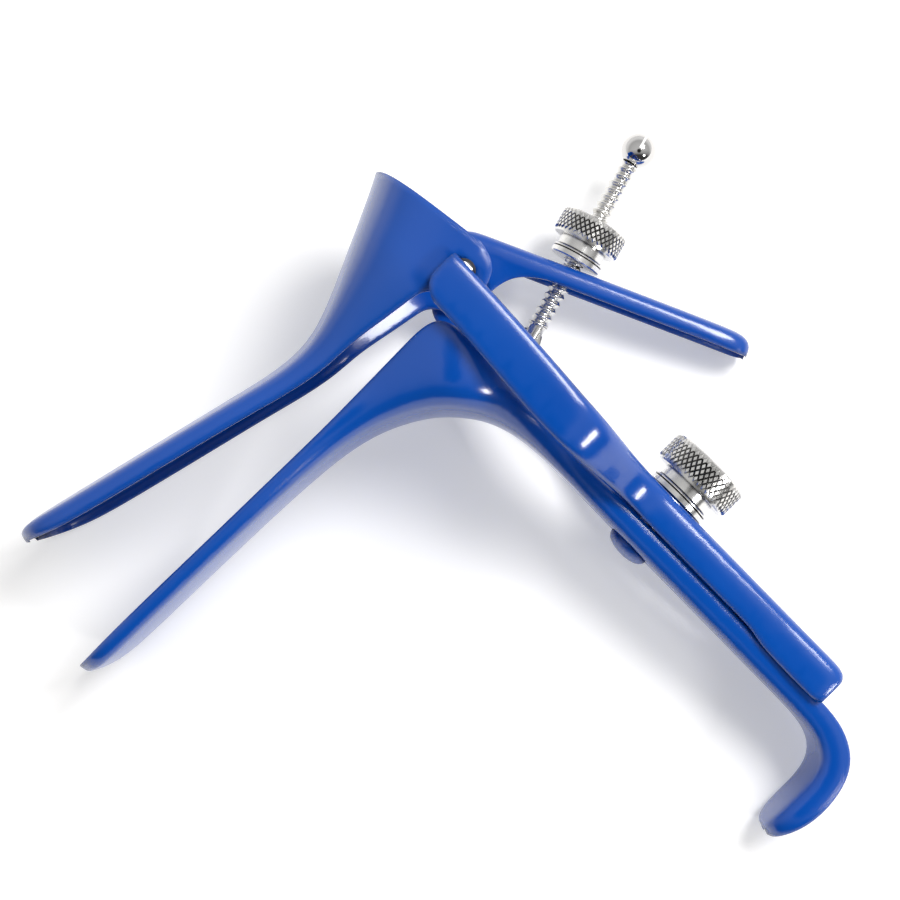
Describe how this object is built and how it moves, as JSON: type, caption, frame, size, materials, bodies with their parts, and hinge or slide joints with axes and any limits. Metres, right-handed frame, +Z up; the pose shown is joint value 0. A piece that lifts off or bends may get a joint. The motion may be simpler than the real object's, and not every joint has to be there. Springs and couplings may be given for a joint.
{
  "type": "bivalve speculum",
  "caption": "Duck-bill bivalve speculum: blue coated channel blades with flared mouth, hooked handle, slotted sliding yoke, thumb lever on a ball-ended screw, knurled steel clamp nuts",
  "frame": {"origin": "centre of the footprint, on the table the instrument lies on", "axes": "Z up from the table; the instrument lies on its right side as pictured; X along the blades, tips at minus X and user's side at plus X; Y from the hook of the handle up to the upper blade"},
  "size_m": [0.1564, 0.145, 0.0584],
  "materials": {
    "blue_coat": "glossy blue coating over pressed steel",
    "blue_rivet": "glossy blue coating on the rivet head, bright steel shank",
    "bright_steel": "turned bright stainless steel",
    "polished_steel": "polished bright plated steel",
    "dark_steel": "dull darkened steel"
  },
  "bodies": {
    "handle": {"lower_blade": "blue_coat", "clamp_stud": "blue_rivet"},
    "yoke": {"yoke": "blue_coat", "hinge_pins": "bright_steel", "hinge_washers": "dark_steel", "pivot_pin": "bright_steel", "pivot_spacer": "bright_steel"},
    "upper_blade": {"upper_blade": "blue_coat", "thumb_lever": "blue_coat"},
    "lever_screw": {"lever_screw": "bright_steel", "screw_ball": "polished_steel"},
    "lever_washer": {"lever_washer": "bright_steel"},
    "lever_nut": {"lever_nut": "bright_steel"},
    "handle_washer": {"handle_washer": "bright_steel"},
    "handle_nut": {"handle_nut": "bright_steel"}
  },
  "joints": [
    {"name": "yoke_slide", "type": "slide", "parent": "handle", "child": "yoke", "axis": [-0.0346, 0.9821, 0.1852], "range_m": [0, 0.022]},
    {"name": "blade_hinge", "type": "hinge", "parent": "yoke", "child": "upper_blade", "pos_m": [0.02371, 0.04595, 0.03426], "axis": [-0.1802, -0.1884, 0.9654], "range_deg": [-26, 13]},
    {"name": "screw_swing", "type": "hinge", "parent": "yoke", "child": "lever_screw", "pos_m": [0.02693, 0.03315, 0.00501], "axis": [-0.1802, -0.1884, 0.9654], "range_deg": [-20.5, 10.5]},
    {"name": "lever_washer_travel", "type": "slide", "parent": "lever_screw", "child": "lever_washer", "axis": [0.9375, 0.2641, 0.2265], "range_m": [-0.008, 0.004]},
    {"name": "lever_nut_spin", "type": "hinge", "parent": "lever_washer", "child": "lever_nut", "pos_m": [0.05318, 0.04054, 0.01136], "axis": [0.9375, 0.2641, 0.2265], "range_deg": [-1730, 866]},
    {"name": "handle_washer_travel", "type": "slide", "parent": "handle", "child": "handle_washer", "axis": [0.983, 0, 0.1834], "range_m": [0, 0.0033]},
    {"name": "handle_nut_spin", "type": "hinge", "parent": "handle_washer", "child": "handle_nut", "pos_m": [0.03163, -0.0115, 0.02452], "axis": [0.983, 0, 0.1834], "range_deg": [0, 715]}
  ],
  "couplings": [
    {"joint": "blade_hinge", "follows": "lever_washer_travel", "rad_per_m": 54.555},
    {"joint": "screw_swing", "follows": "lever_washer_travel", "rad_per_m": 42.55},
    {"joint": "lever_nut_spin", "follows": "lever_washer_travel", "rad_per_m": 3762.4},
    {"joint": "handle_nut_spin", "follows": "handle_washer_travel", "rad_per_m": 3762.4}
  ]
}
